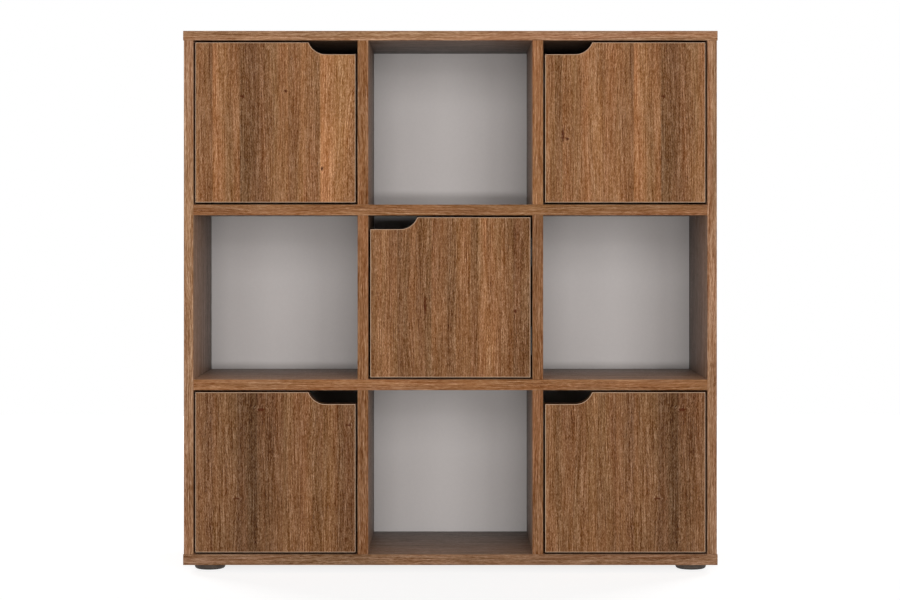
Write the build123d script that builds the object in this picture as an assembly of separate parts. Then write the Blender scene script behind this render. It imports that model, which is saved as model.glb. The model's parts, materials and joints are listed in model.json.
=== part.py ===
from build123d import *

import os
from math import cos, pi, radians, sin, sqrt

# Cube storage unit: three by three cells in a carcass of wood-effect boards, five inset doors on
# single-pivot cup hinges, a thin back panel and four round glides.
# Millimetres, +Z up, front towards -Y. The origin is on the floor under the middle of the unit.

# Carcass
CELL_W = 276.5  # clear width of a cell
CELL_H = 276.5  # clear height of a cell
BOARD_DEPTH = 287.0  # every board, front edge to rear edge
SIDE_T = 16.0
TOP_T = 16.0
BOTTOM_T = 18.0
SHELF_T = 18.0
DIVIDER_T = 18.0
OVERHANG = 1.25  # top and bottom panel beyond the side's outer face
BACK_T = 3.0
BACK_MARGIN = 2.0  # back panel's edge inside the carcass outline

# Doors
DOOR_T = 16.0
DOOR_GAP = 2.5  # all round the door
DOOR_EASE = 0.5  # eased front edges
NOTCH_DEPTH = 20.0  # finger notch in the free upper corner
NOTCH_RADIUS = 30.0
NOTCH_FLAT = 51.0  # straight stretch from the free edge

# Glides
FOOT_D = 52.0
FOOT_H = 12.0
FOOT_BAND = 7.5  # upright upper part, above the turned-under edge
FOOT_SOLE_D = 43.0  # flat ring that meets the floor
FOOT_RECESS_D = 14.0
FOOT_RECESS = 7.0  # depth of the screw's recess
FOOT_SIDE = 39.0  # centre from the side's outer face
FOOT_SETBACK = 50.0  # centre from the front and rear edges

# Cup hinges
HINGE_END = 60.0  # hinge's middle from the door's top and bottom edge
CUP_D = 35.0
CUP_DEPTH = 12.5
CUP_EDGE = 4.5  # wood between the bore and the door's edge
CUP_FLOOR = 1.0
CUP_WALL = 0.8
CUP_LIP = 1.5  # rim beyond the bore
LIP_T = 1.0
PIVOT_EDGE = 14.6  # pin's axis from the door's edge
PIVOT_DEPTH = 8.5  # pin's axis below the door's rear face
PIN_D = 3.0
EYE_D = 5.4
ARM_T = 2.5
ARM_H = 12.0
NECK_L = 28.0
ELBOW = 8.0  # the elbow's corner is cut this far back along both legs
NECK_ANGLE = 27.0  # degrees from the door's plane
ARM_BEND = 34.0  # where the arm turns to run along the board, behind the front
ARM_END = 84.0
CHANNEL_START = 40.0
CHANNEL_W = 16.0
CHANNEL_T = 1.2
RIB_H = 6.75  # plate's rib, which carries the arm
PLATE_BASE = 2.0
PLATE_START = 39.0
PLATE_END = 85.0
PLATE_W = 19.0
WING_W = 16.0
WING_SPAN = 48.0
PLATE_SCREW_SETBACK = 53.0
PLATE_SCREW_SPACING = 32.0
ARM_SCREW_SETBACK = 72.0

# Dowels
DOWEL_D = 8.0
DOWEL_IN_FACE = 10.0
DOWEL_IN_END = 20.0
DOWEL_BEYOND = 11.0  # reach of a through dowel past each face of a shelf
DOWEL_SETBACK = 60.0  # of the pairs, from the front and rear edges

# Cam fittings
CAM_D = 15.0
CAM_BEYOND = 4.5  # disc's reach past the board's middle
CAM_SETBACK = 24.0  # disc's middle from the joint
CAM_EDGE = 50.0  # from the front and rear edges
CAM_SLOT_W = 1.6  # screwdriver slot
CAM_SLOT_L = 9.0
CAM_SLOT_DEPTH = 1.5
CAM_BORE_D = 8.0  # in the board's end, for the bolt
BOLT_D = 6.0
BOLT_THREAD = 11.0
BOLT_NECK_D = 4.0
BOLT_NECK = 3.0
BOLT_HEAD_D = 7.0
BOLT_HEAD = 3.0

# Screws and nails: shank diameter, shank reach, head diameter, head height
PLATE_SCREW = (5.8, 13.0, 9.0, 2.0)
ARM_SCREW = (5.0, 8.0, 8.0, 2.5)
FOOT_SCREW = (4.0, 16.0, 9.0, 2.5)
NAIL = (1.8, 18.0, 5.0, 0.8)

# Fits
SEAT = 0.05  # radial, of a fixed peg in its hole
RUNNING = 0.05  # radial, of the pin in the arm's eye
HOLE_ROOM = 1.0  # spare depth of a blind hole
CUP_FIT = 0.1  # radial, of the cup and the cam disc in their bores
PLAY = 0.4  # between flat hinge faces that slide past each other, and round a bolt's head
ROUND_SIDES = 16  # cups and glides are drawn with flat sides, to keep their faces few
SMALL_SIDES = 6  # and so are screws, dowels and other small round pieces, but not the hinge pins

# Worked out from the sizes above
COLUMNS = ("left", "centre", "right")
ROWS = ("bottom", "middle", "top")
HANDS = ((-1, "left"), (1, "right"))
X, Y, Z = Vector(1, 0, 0), Vector(0, 1, 0), Vector(0, 0, 1)
INNER_X = (len(COLUMNS) * CELL_W + (len(COLUMNS) - 1) * DIVIDER_T) / 2
OUTER_X = INNER_X + SIDE_T
FRONT = -(BOARD_DEPTH + BACK_T + NAIL[3]) / 2
REAR = FRONT + BOARD_DEPTH
FLOOR_Z = FOOT_H + BOTTOM_T
SHELF_PITCH = CELL_H + SHELF_T
CEILING_Z = FLOOR_Z + len(ROWS) * CELL_H + (len(ROWS) - 1) * SHELF_T
UNIT_H = CEILING_Z + TOP_T
CELL_X = {c: -INNER_X + i * (CELL_W + DIVIDER_T) for i, c in enumerate(COLUMNS)}
CELL_Z = {r: FLOOR_Z + i * SHELF_PITCH for i, r in enumerate(ROWS)}
DIVIDER_X = {"left": CELL_X["centre"] - DIVIDER_T, "right": CELL_X["right"] - DIVIDER_T}
SHELF_Z = {"lower": CELL_Z["middle"] - SHELF_T, "upper": CELL_Z["top"] - SHELF_T}
DOOR_W = CELL_W - 2 * DOOR_GAP
DOOR_H = CELL_H - 2 * DOOR_GAP
CUP_X = DOOR_GAP + CUP_EDGE + CUP_D / 2
CUP_REACH = (CUP_D / 2 - CUP_FIT) * cos(pi / ROUND_SIDES)  # cup's middle to its flat sides
PIVOT = Vector(DOOR_GAP + PIVOT_EDGE, DOOR_T - PIVOT_DEPTH)
ARM_X = RIB_H + ARM_T / 2  # middle line of the arm's straight run

# Each door: its column, its row and the side its hinges are on
DOORS = {
    "top_left": ("left", "top", "left"),
    "top_right": ("right", "top", "right"),
    "centre": ("centre", "middle", "right"),
    "bottom_left": ("left", "bottom", "left"),
    "bottom_right": ("right", "bottom", "right"),
}


def span(x, y, z):
    """A box between two limits on each axis."""
    sizes = [high - low for low, high in (x, y, z)]
    return Pos(x[0], y[0], z[0]) * Box(*sizes, align=(Align.MIN, Align.MIN, Align.MIN))


def peg(start, along, length, diameter, sides=0):
    """A straight peg from a point, round or with flat sides."""
    outline = RegularPolygon(diameter / 2, sides) if sides else Circle(diameter / 2)
    return extrude(Plane(start, z_dir=along) * outline, length)


def screw(seat, along, sizes):
    """A screw or nail whose head stands on a surface and whose shank goes along."""
    shank_d, reach, head_d, head_h = sizes
    head = peg(seat, -along, head_h, head_d, SMALL_SIDES)
    return head + peg(seat, along, reach, shank_d, SMALL_SIDES)


def screw_hole(seat, along, sizes):
    """The hole that a screw's shank fills."""
    shank_d, reach, _, _ = sizes
    return peg(seat, along, reach + HOLE_ROOM, shank_d + 2 * SEAT, SMALL_SIDES)


def carcass_boards():
    """The plain boards, before drilling."""
    depth = (FRONT, REAR)
    reach = OUTER_X + OVERHANG
    boards = {
        "top_panel": span((-reach, reach), depth, (CEILING_Z, UNIT_H)),
        "bottom_panel": span((-reach, reach), depth, (FOOT_H, FLOOR_Z)),
        "left_side": span((-OUTER_X, -INNER_X), depth, (FLOOR_Z, CEILING_Z)),
        "right_side": span((INNER_X, OUTER_X), depth, (FLOOR_Z, CEILING_Z)),
    }
    for shelf, z in SHELF_Z.items():
        boards[f"{shelf}_shelf"] = span((-INNER_X, INNER_X), depth, (z, z + SHELF_T))
    for row, z in CELL_Z.items():
        for column, x in DIVIDER_X.items():
            boards[f"divider_{row}_{column}"] = span((x, x + DIVIDER_T), depth, (z, z + CELL_H))
    back_x = OUTER_X - BACK_MARGIN
    back_z = (FOOT_H + BACK_MARGIN, UNIT_H - BACK_MARGIN)
    boards["back_panel"] = span((-back_x, back_x), (REAR, REAR + BACK_T), back_z)
    return boards


boards = carcass_boards()
cuts = {name: [] for name in boards}


def drill(tool, *names):
    """Marks a tool to be cut from the named boards."""
    for name in names:
        cuts[name].append(tool)


def dowel(joint, along, into, out_of, *names):
    """A dowel through a point of a joint face, with its hole in the boards that it joins."""
    start = joint - along * out_of
    hole = peg(
        start - along * HOLE_ROOM,
        along,
        out_of + into + 2 * HOLE_ROOM,
        DOWEL_D + 2 * SEAT,
        SMALL_SIDES,
    )
    drill(hole, *names)
    return peg(start, along, out_of + into, DOWEL_D, SMALL_SIDES)


def front_and_rear(setback):
    """The two places along the depth, as far from the front edge as from the rear."""
    return FRONT + setback, REAR - setback


def corner_dowels(hand, side):
    """One dowel in the middle of each end of a side panel."""
    x, y = hand * (INNER_X + SIDE_T / 2), (FRONT + REAR) / 2
    return [
        dowel(Vector(x, y, CEILING_Z), Z, DOWEL_IN_FACE, DOWEL_IN_END, "top_panel", f"{side}_side"),
        dowel(Vector(x, y, FLOOR_Z), -Z, DOWEL_IN_FACE, DOWEL_IN_END, "bottom_panel", f"{side}_side"),
    ]


def divider_dowels(side, y):
    """Dowels down one line of dividers: into the top and bottom, and right through the shelves."""
    x = DIVIDER_X[side] + DIVIDER_T / 2
    line = [f"divider_{row}_{side}" for row in ROWS]
    pegs = [
        dowel(Vector(x, y, CEILING_Z), Z, DOWEL_IN_FACE, DOWEL_IN_END, "top_panel", line[-1]),
        dowel(Vector(x, y, FLOOR_Z), -Z, DOWEL_IN_FACE, DOWEL_IN_END, "bottom_panel", line[0]),
    ]
    for (shelf, z), below, above in zip(SHELF_Z.items(), line, line[1:]):
        boards_joined = (below, f"{shelf}_shelf", above)
        pegs.append(dowel(Vector(x, y, z), Z, SHELF_T + DOWEL_BEYOND, DOWEL_BEYOND, *boards_joined))
    return pegs


def shelf_dowels(hand, side, y):
    """Dowels from the ends of both shelves into a side panel."""
    return [
        dowel(
            Vector(hand * INNER_X, y, z + SHELF_T / 2),
            X * hand,
            DOWEL_IN_FACE,
            DOWEL_IN_END,
            f"{side}_side",
            f"{shelf}_shelf",
        )
        for shelf, z in SHELF_Z.items()
    ]


def dowels():
    """Every dowel of the carcass."""
    pegs = []
    for hand, side in HANDS:
        pegs += corner_dowels(hand, side)
        for y in front_and_rear(DOWEL_SETBACK):
            pegs += divider_dowels(side, y) + shelf_dowels(hand, side, y)
    return pegs


def cam_bolt(joint, along):
    """The bolt that screws into a panel's face and ends in a head inside the cam disc."""
    stem_l = CAM_SETBACK - BOLT_HEAD / 2 - BOLT_NECK
    neck = joint + along * stem_l
    stem = peg(joint - along * BOLT_THREAD, along, BOLT_THREAD + stem_l, BOLT_D, SMALL_SIDES)
    head = peg(neck + along * BOLT_NECK, along, BOLT_HEAD, BOLT_HEAD_D, SMALL_SIDES)
    return stem + peg(neck, along, BOLT_NECK, BOLT_NECK_D, SMALL_SIDES) + head


def cam_disc(joint, along, out):
    """The disc that grips the bolt's head, flush with the side's inner face."""
    middle = joint + along * CAM_SETBACK
    disc = peg(
        middle + out * (SIDE_T / 2),
        -out,
        SIDE_T / 2 + CAM_BEYOND,
        CAM_D - 2 * CUP_FIT,
        SMALL_SIDES,
    )
    head_x = BOLT_HEAD / 2 + PLAY
    head_y = BOLT_HEAD_D / 2 + PLAY
    mouth_y = BOLT_D / 2 + PLAY
    pocket = span((-head_x, head_x), (-head_y, head_y), (-CAM_BEYOND, head_y))
    mouth = span((-CAM_D, 0), (-mouth_y, mouth_y), (-CAM_BEYOND, mouth_y))
    slot = span(
        (-CAM_SLOT_L / 2, CAM_SLOT_L / 2),
        (-CAM_SLOT_W / 2, CAM_SLOT_W / 2),
        (SIDE_T / 2 - CAM_SLOT_DEPTH, SIDE_T / 2),
    )
    frame = Plane(middle, x_dir=along, z_dir=out)
    return disc - [frame * tool for tool in (pocket, mouth, slot)]


def drill_cam(joint, along, out, panel, side):
    """The holes of one cam fitting: a thread hole in the panel, a bore and a pocket in the side."""
    thread = peg(joint, -along, BOLT_THREAD + HOLE_ROOM, BOLT_D + 2 * SEAT, SMALL_SIDES)
    bore = peg(joint, along, CAM_SETBACK, CAM_BORE_D, SMALL_SIDES)
    face = joint + along * CAM_SETBACK + out * (SIDE_T / 2)
    pocket = peg(face, -out, SIDE_T / 2 + CAM_BEYOND + CUP_FIT, CAM_D, SMALL_SIDES)
    drill(thread, panel)
    drill(bore, side)
    drill(pocket, side)


def cam_fittings():
    """Bolts and discs that pull the sides to the top and bottom panels."""
    bolts, discs = [], []
    for hand, side in HANDS:
        for y in front_and_rear(CAM_EDGE):
            for z, along, panel in ((CEILING_Z, -Z, "top_panel"), (FLOOR_Z, Z, "bottom_panel")):
                joint = Vector(hand * (INNER_X + SIDE_T / 2), y, z)
                drill_cam(joint, along, X * -hand, panel, f"{side}_side")
                bolts.append(cam_bolt(joint, along))
                discs.append(cam_disc(joint, along, X * -hand))
    return bolts, discs


def back_nails():
    """Nails driven through the back panel, at the middle of each cell's stretch of board."""
    across = [FOOT_H + BOTTOM_T / 2, CEILING_Z + TOP_T / 2, *(z + SHELF_T / 2 for z in SHELF_Z.values())]
    upright = [hand * (INNER_X + SIDE_T / 2) for hand, _ in HANDS]
    seats = [(x + CELL_W / 2, z) for z in across for x in CELL_X.values()]
    seats += [(x, z + CELL_H / 2) for x in upright for z in CELL_Z.values()]
    return [screw(Vector(x, REAR + BACK_T, z), -Y, NAIL) for x, z in seats]


def foot():
    """A round glide, turned under at its lower edge, with a recess for its screw."""
    turned_in = (FOOT_D - FOOT_SOLE_D) / 2 * cos(pi / ROUND_SIDES)
    glide = peg(Vector(), Z, FOOT_H, FOOT_D, ROUND_SIDES)
    sole = glide.faces().sort_by(Axis.Z)[0]
    glide = chamfer(sole.edges(), turned_in, FOOT_H - FOOT_BAND, reference=sole)
    recess = peg(Vector(), Z, FOOT_RECESS, FOOT_RECESS_D, SMALL_SIDES)
    return glide - recess - peg(Vector(), Z, FOOT_H, FOOT_SCREW[0] + 2 * SEAT, SMALL_SIDES)


def glide_places():
    """Where the four glides stand."""
    return {
        f"foot_{end}_{side}": Vector(hand * (OUTER_X - FOOT_SIDE), y)
        for end, y in zip(("front", "rear"), front_and_rear(FOOT_SETBACK))
        for hand, side in HANDS
    }


# A door and its hinges are drawn in a left-hinged cell's own frame: x from the board that carries
# the hinges, y from the front plane, z from the door's middle or the hinge's middle.


def door_panel():
    """The door, with its finger notch and the bores of its two hinge cups."""
    low, high = DOOR_GAP, DOOR_GAP + DOOR_W
    top, ledge = DOOR_H / 2, DOOR_H / 2 - NOTCH_DEPTH
    run = sqrt(2 * NOTCH_RADIUS * NOTCH_DEPTH - NOTCH_DEPTH**2)
    inner = (high - NOTCH_FLAT, ledge)
    upper = (inner[0] - run, top)
    outline = [
        Polyline(upper, (low, top), (low, -top), (high, -top), (high, ledge), inner),
        TangentArc(inner, upper, tangent=(-1, 0)),
    ]
    panel = extrude(Plane.XZ * make_face(outline), -DOOR_T)
    panel = chamfer(panel.faces().sort_by(Axis.Y)[0].edges(), DOOR_EASE)
    bore = peg(Vector(CUP_X, DOOR_T), -Y, CUP_DEPTH + CUP_FIT, CUP_D, ROUND_SIDES)
    return panel - [Pos(0, 0, z) * bore for z in HINGE_Z]


def pin_half():
    """Half the pin's length: as long as the cup is wide there, less its wall."""
    aside = CUP_X - PIVOT.X + PIN_D / 2 + SEAT
    return sqrt(CUP_REACH**2 - aside**2) - CUP_WALL


def on_pivot(half, diameter, sides=0):
    """A peg on the hinge's axis."""
    return peg(Vector(PIVOT.X, PIVOT.Y, -half), Z, 2 * half, diameter, sides)


def pin_hole(half, clearance):
    """A flat-sided hole on the hinge's axis, whose sides clear the round pin."""
    return on_pivot(half, (PIN_D + 2 * clearance) / cos(pi / SMALL_SIDES), SMALL_SIDES)


def hinge_cup():
    """Cast press-in cup: a rim, a slot that the arm swings in, and cheeks that hold the pin."""
    rear = Vector(CUP_X, DOOR_T)
    cup = peg(rear, -Y, CUP_DEPTH, CUP_D - 2 * CUP_FIT, ROUND_SIDES)
    cup += peg(rear, Y, LIP_T, CUP_D + 2 * CUP_LIP, ROUND_SIDES)
    slot_z = ARM_H / 2 + PLAY
    slot_x = sqrt(CUP_REACH**2 - slot_z**2) - CUP_WALL
    slot = span(
        (CUP_X - slot_x, CUP_X + slot_x),
        (DOOR_T - CUP_DEPTH + CUP_FLOOR, DOOR_T + LIP_T),
        (-slot_z, slot_z),
    )
    return cup - slot - pin_hole(pin_half() + SEAT, SEAT)


def hinge_pin():
    """The round pin on the hinge's axis, held in the cup's cheeks."""
    return on_pivot(pin_half(), PIN_D)


def hinge_arm():
    """Cranked arm: an eye on the pin, a neck out of the cup, and a channel over the plate's rib."""
    lean = radians(NECK_ANGLE)
    neck = Vector(cos(lean), sin(lean))
    elbow = PIVOT + neck * NECK_L
    bend = Vector(ARM_X, ARM_BEND)
    crank = (bend - elbow).normalized()
    path = Polyline(PIVOT, elbow - neck * ELBOW, elbow + crank * ELBOW, bend, (ARM_X, ARM_END))
    bar = extrude(trace(path, ARM_T), ARM_H / 2, both=True)
    length = (CHANNEL_START, ARM_END)
    web = span((RIB_H, RIB_H + ARM_T), length, (-CHANNEL_W / 2, CHANNEL_W / 2))
    flanges = [
        span((PLATE_BASE + PLAY, RIB_H), length, (z, z + CHANNEL_T))
        for z in (-CHANNEL_W / 2, CHANNEL_W / 2 - CHANNEL_T)
    ]
    arm = bar + on_pivot(ARM_H / 2, EYE_D, SMALL_SIDES) + web + flanges
    return arm - pin_hole(ARM_H / 2, RUNNING) - screw_hole(ARM_SCREW_SEAT, -X, ARM_SCREW)


def hinge_plate():
    """Mounting plate: a base with two wings for its screws, and a rib inside the arm's channel."""
    length = (PLATE_START, PLATE_END)
    wing_y = (PLATE_SCREW_SETBACK - WING_W / 2, PLATE_SCREW_SETBACK + WING_W / 2)
    rib_z = CHANNEL_W / 2 - CHANNEL_T - PLAY
    plate = span((0, PLATE_BASE), length, (-PLATE_W / 2, PLATE_W / 2))
    plate += span((0, PLATE_BASE), wing_y, (-WING_SPAN / 2, WING_SPAN / 2))
    plate += span((0, RIB_H), length, (-rib_z, rib_z))
    return plate - PLATE_SCREW_HOLES - screw_hole(ARM_SCREW_SEAT, -X, ARM_SCREW)


HINGE_Z = (HINGE_END - DOOR_H / 2, DOOR_H / 2 - HINGE_END)
ARM_SCREW_SEAT = Vector(RIB_H + ARM_T, ARM_SCREW_SETBACK)
PLATE_SCREW_SEATS = [
    Vector(PLATE_BASE, PLATE_SCREW_SETBACK, hand * PLATE_SCREW_SPACING / 2) for hand, _ in HANDS
]
PLATE_SCREW_HOLES = [screw_hole(seat, -X, PLATE_SCREW) for seat in PLATE_SCREW_SEATS]
PLATE_SCREWS = [screw(seat, -X, PLATE_SCREW) for seat in PLATE_SCREW_SEATS]


def at_door(door, piece):
    """A piece from the left-hinged cell's frame, mirrored where needed and moved to its door."""
    column, row, hinge_side = DOORS[door]
    x, z = CELL_X[column], CELL_Z[row] + CELL_H / 2
    if hinge_side == "left":
        return Pos(x, FRONT, z) * piece
    return Pos(x + CELL_W, FRONT, z) * mirror(piece, about=Plane.YZ)


def at_hinges(door, *pieces):
    """Copies of a hinge's pieces at both of a door's hinges."""
    return [at_door(door, Pos(0, 0, z) * piece) for z in HINGE_Z for piece in pieces]


def hinge_board(door):
    """The board that carries a door's hinges."""
    column, row, hinge_side = DOORS[door]
    return f"divider_{row}_{hinge_side}" if column == "centre" else f"{hinge_side}_side"


nodes = {"plate_screws": [], "arm_screws": [], "foot_screws": []}

# Doors with their cups and pins, and the arms and plates that carry them
for door in DOORS:
    nodes[f"door_{door}"] = [at_door(door, door_panel())]
    nodes[f"hinge_cups_{door}"] = at_hinges(door, hinge_cup())
    nodes[f"hinge_pins_{door}"] = at_hinges(door, hinge_pin())
    nodes[f"hinge_arms_{door}"] = at_hinges(door, hinge_arm())
    nodes[f"hinge_plates_{door}"] = at_hinges(door, hinge_plate())
    nodes["plate_screws"] += at_hinges(door, *PLATE_SCREWS)
    nodes["arm_screws"] += at_hinges(door, screw(ARM_SCREW_SEAT, -X, ARM_SCREW))
    for hole in at_hinges(door, *PLATE_SCREW_HOLES):
        drill(hole, hinge_board(door))

# Fittings inside the joints, and the nails of the back panel
nodes["dowels"] = dowels()
nodes["cam_bolts"], nodes["cam_discs"] = cam_fittings()
nodes["back_nails"] = back_nails()

# Glides and their screws
for name, place in glide_places().items():
    seat = place + Z * FOOT_RECESS
    nodes[name] = [Pos(place) * foot()]
    nodes["foot_screws"].append(screw(seat, Z, FOOT_SCREW))
    drill(screw_hole(seat, Z, FOOT_SCREW), "bottom_panel")

# Boards, drilled for everything that enters them
for name, board in boards.items():
    nodes[name] = [board - cuts[name]]

os.makedirs("parts", exist_ok=True)
for name, solids in nodes.items():
    shape = solids[0] if len(solids) == 1 else Compound(children=solids)
    export_step(shape, f"parts/{name}.step")
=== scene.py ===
import json
import math

import bmesh
import bpy
from bpy.props import FloatProperty, FloatVectorProperty, IntProperty, PointerProperty
from mathutils import Matrix, Vector

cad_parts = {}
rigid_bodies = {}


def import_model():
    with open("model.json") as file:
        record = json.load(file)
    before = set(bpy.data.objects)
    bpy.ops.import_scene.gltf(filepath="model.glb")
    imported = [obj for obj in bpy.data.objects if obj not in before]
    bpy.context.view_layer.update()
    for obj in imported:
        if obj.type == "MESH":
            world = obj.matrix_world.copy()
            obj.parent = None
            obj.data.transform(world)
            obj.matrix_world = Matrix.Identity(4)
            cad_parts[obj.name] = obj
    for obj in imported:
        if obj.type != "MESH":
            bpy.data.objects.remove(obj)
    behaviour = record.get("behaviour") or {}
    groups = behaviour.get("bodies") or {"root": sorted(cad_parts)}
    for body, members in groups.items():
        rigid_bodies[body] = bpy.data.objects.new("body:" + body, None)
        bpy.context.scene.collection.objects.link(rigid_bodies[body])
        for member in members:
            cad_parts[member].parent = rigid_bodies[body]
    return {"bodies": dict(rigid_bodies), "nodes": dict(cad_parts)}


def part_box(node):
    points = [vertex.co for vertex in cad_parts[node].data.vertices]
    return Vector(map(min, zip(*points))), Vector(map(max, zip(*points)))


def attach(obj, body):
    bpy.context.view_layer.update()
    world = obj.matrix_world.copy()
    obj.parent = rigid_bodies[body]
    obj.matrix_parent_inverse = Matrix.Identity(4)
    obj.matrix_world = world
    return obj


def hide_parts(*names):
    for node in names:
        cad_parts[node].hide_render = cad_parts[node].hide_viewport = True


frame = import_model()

bl_info = {
    "name": "Cube storage unit",
    "version": (1, 0, 0),
    "blender": (4, 5, 0),
    "location": "3D View > Sidebar > Cube Unit",
    "description": "Dresses a nine-cell storage unit with walnut-effect boards, doors and their hinges",
    "category": "Object",
}

MM = 0.001
X, Z = 0, 2  # axes across the unit and up
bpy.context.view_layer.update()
CARCASS = "carcass"
DOORS = [name.removesuffix("_door") for name in frame["bodies"] if name != CARCASS]
FEET = [name for name in frame["nodes"] if name.startswith("foot_") and name != "foot_screws"]
UPRIGHT_BOARDS = [name for name in frame["nodes"] if name.endswith("_side") or name.startswith("divider_")]
LEVEL_BOARDS = ["top_panel", "bottom_panel", "lower_shelf", "upper_shelf"]
OUTER_BOARDS = ["top_panel", "bottom_panel", "left_side", "right_side"]
EDGED_ALL_ROUND = ["top_panel", "bottom_panel"]
SHELL = (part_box("bottom_panel")[0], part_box("top_panel")[1])  # outer corners of the carcass


# Settings

def linear(hex_colour):
    """An sRGB hex colour as linear red, green and blue."""
    parts = [int(hex_colour[i:i + 2], 16) / 255 for i in (1, 3, 5)]
    return tuple(p / 12.92 if p <= 0.04045 else ((p + 0.055) / 1.055) ** 2.4 for p in parts)


def colour_setting(name, description, hex_colour):
    """A colour that the user can change, with its default written in sRGB."""
    return FloatVectorProperty(
        name=name, description=description, subtype="COLOR", size=3, min=0.0, max=1.0,
        default=linear(hex_colour),
    )


def length_setting(name, description, millimetres):
    """A length that the user can change, with its default in millimetres."""
    return FloatProperty(
        name=name, description=description, subtype="DISTANCE", unit="LENGTH", min=0.0,
        default=millimetres * MM,
    )


def power_setting(name, description, watts):
    """A light's power that the user can change, with its default in watts."""
    return FloatProperty(name=name, description=description, unit="POWER", default=watts)


class CubeUnitWood(bpy.types.PropertyGroup):
    """Colours of the boards, the doors and the back panel."""

    outer_foil: colour_setting("Outer foil", "Foil of the top, bottom and sides", "#9A7152")
    inner_foil: colour_setting("Inner foil", "Front edges of the shelves and dividers", "#91633F")
    # Greyer than the outer foil: partly painted sheen, standing in for the grey reflection on the cell
    # walls.
    cell_foil: colour_setting("Cell foil", "Foil that lines the cells", "#957259")
    door_foil: colour_setting("Door foil", "Foil of the doors", "#865C3A")
    # Pale, a painted highlight where a door's eased edge faces the front.
    painted_edge: colour_setting("Edge highlight", "Painted highlight where a door's eased edge faces the front", "#CFAE92")
    # Dark, painted shade on the outer part of a door's eased edge, which darkens the gap.
    glue_line: colour_setting("Glue line", "Painted shade on the outer part of a door's eased edge", "#1C0F08")
    chipboard: colour_setting("Chipboard", "Bare core at the rear edges", "#B0916A")
    lacquer: colour_setting("Lacquer", "Front of the back panel", "#C8C3C1")
    hardboard: colour_setting("Hardboard", "Bare rear of the back panel", "#86623F")


class CubeUnitDoors(bpy.types.PropertyGroup):
    """Sizes of the doors and of the boards' edges."""

    board_ease: length_setting("Board ease", "Radius of the boards' front edges", 0.4)
    door_ease: length_setting("Door ease", "Radius of the doors' front edges", 2.0)
    notch_depth: length_setting("Notch depth", "Depth of the finger notch", 20.0)
    notch_radius: length_setting("Notch radius", "Radius of the finger notch's inner corner", 30.0)
    notch_flat: length_setting("Notch flat", "Straight stretch of the finger notch", 51.0)


class CubeUnitFittings(bpy.types.PropertyGroup):
    """Colours of the fittings."""

    glide_plastic: colour_setting("Glide plastic", "Moulded glides", "#544C46")
    zinc: colour_setting("Zinc", "Bright zinc plating", "#C9CACB")
    casting: colour_setting("Casting", "Die-cast zinc", "#B4B5B6")
    beech: colour_setting("Beech", "Turned dowels", "#D0AC80")
    turned_steps: IntProperty(
        name="Turned steps", description="Sides of a turned piece", min=12, max=96, default=48
    )


class CubeUnitStage(bpy.types.PropertyGroup):
    """Camera, lights and floor."""

    distance: length_setting("Camera distance", "From the lens to the front of the unit", 3750.0)
    height: length_setting("Camera height", "Of the lens above the floor", 577.0)
    lens: FloatProperty(name="Lens", description="Focal length", subtype="DISTANCE_CAMERA", default=89.1)
    right_power: power_setting("Right light", "Softbox at the right", 92.0)
    left_power: power_setting("Left light", "Softbox at the left", 39.5)
    top_power: power_setting("Top light", "Softbox above the camera", 74.0)
    low_power: power_setting("Low light", "Softbox under the camera", 99.0)
    rear_power: power_setting("Rear lights", "Softboxes behind the unit", 110.0)
    ambient: FloatProperty(
        name="Ambient", description="Strength of the even light all round", subtype="FACTOR",
        min=0.0, default=0.12,
    )
    floor: colour_setting("Floor", "Pale floor", "#E8E8E8")


# Shader nodes

def set_inputs(tree, node, inputs):
    """Sets the inputs of a node to values, or links them to other nodes."""
    for name, value in inputs.items():
        if isinstance(value, bpy.types.Node):
            value = value.outputs[0]
        if isinstance(value, bpy.types.NodeSocket):
            tree.links.new(value, node.inputs[name])
        else:
            node.inputs[name].default_value = value


def add(tree, kind, inputs=None, stops=(), **settings):
    """Adds a shader node with its settings, its inputs and, on a ramp, its stops in grey."""
    node = tree.nodes.new("ShaderNode" + kind)
    for name, value in settings.items():
        setattr(node, name, value)
    set_inputs(tree, node, inputs or {})
    if stops:
        ramp = node.color_ramp.elements
        for place, value in stops:
            ramp.new(place).color = (value, value, value, 1.0)
        ramp.remove(ramp[0])
        ramp.remove(ramp[-1])
    return node


def new_material(name, sockets):
    """A material with one Principled shader whose constant sockets are set."""
    material = bpy.data.materials.new(name)
    material.use_nodes = True
    shader = material.node_tree.nodes["Principled BSDF"]
    set_inputs(material.node_tree, shader, sockets)
    return material, material.node_tree, shader


def shared(name, make, *settings):
    """A material by its name, made the first time it is asked for."""
    return bpy.data.materials.get(name) or make(name, *settings)


def rgba(colour):
    """A colour with full opacity."""
    return (*colour, 1.0)


def grain_noise(tree, place, width, length, spread=1.0, **inputs):
    """Noise in patches of a width and a length in mm on the foil. The spread sets its seeds apart."""
    at = add(tree, "VectorMath", {0: place, 1: (1 / width, 1 / length, spread)}, operation="MULTIPLY")
    return add(tree, "TexNoise", {"Vector": at, "Scale": 1.0, **inputs})


def tinted(tree, colour, *gains):
    """A colour made lighter or darker by patterns, each a factor of about 1."""
    gain = gains[0]
    for further in gains[1:]:
        gain = add(tree, "Math", {0: gain, 1: further}, operation="MULTIPLY")
    return add(tree, "VectorMath", {0: colour, "Scale": gain}, operation="SCALE")


# Walnut-effect print

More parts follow.
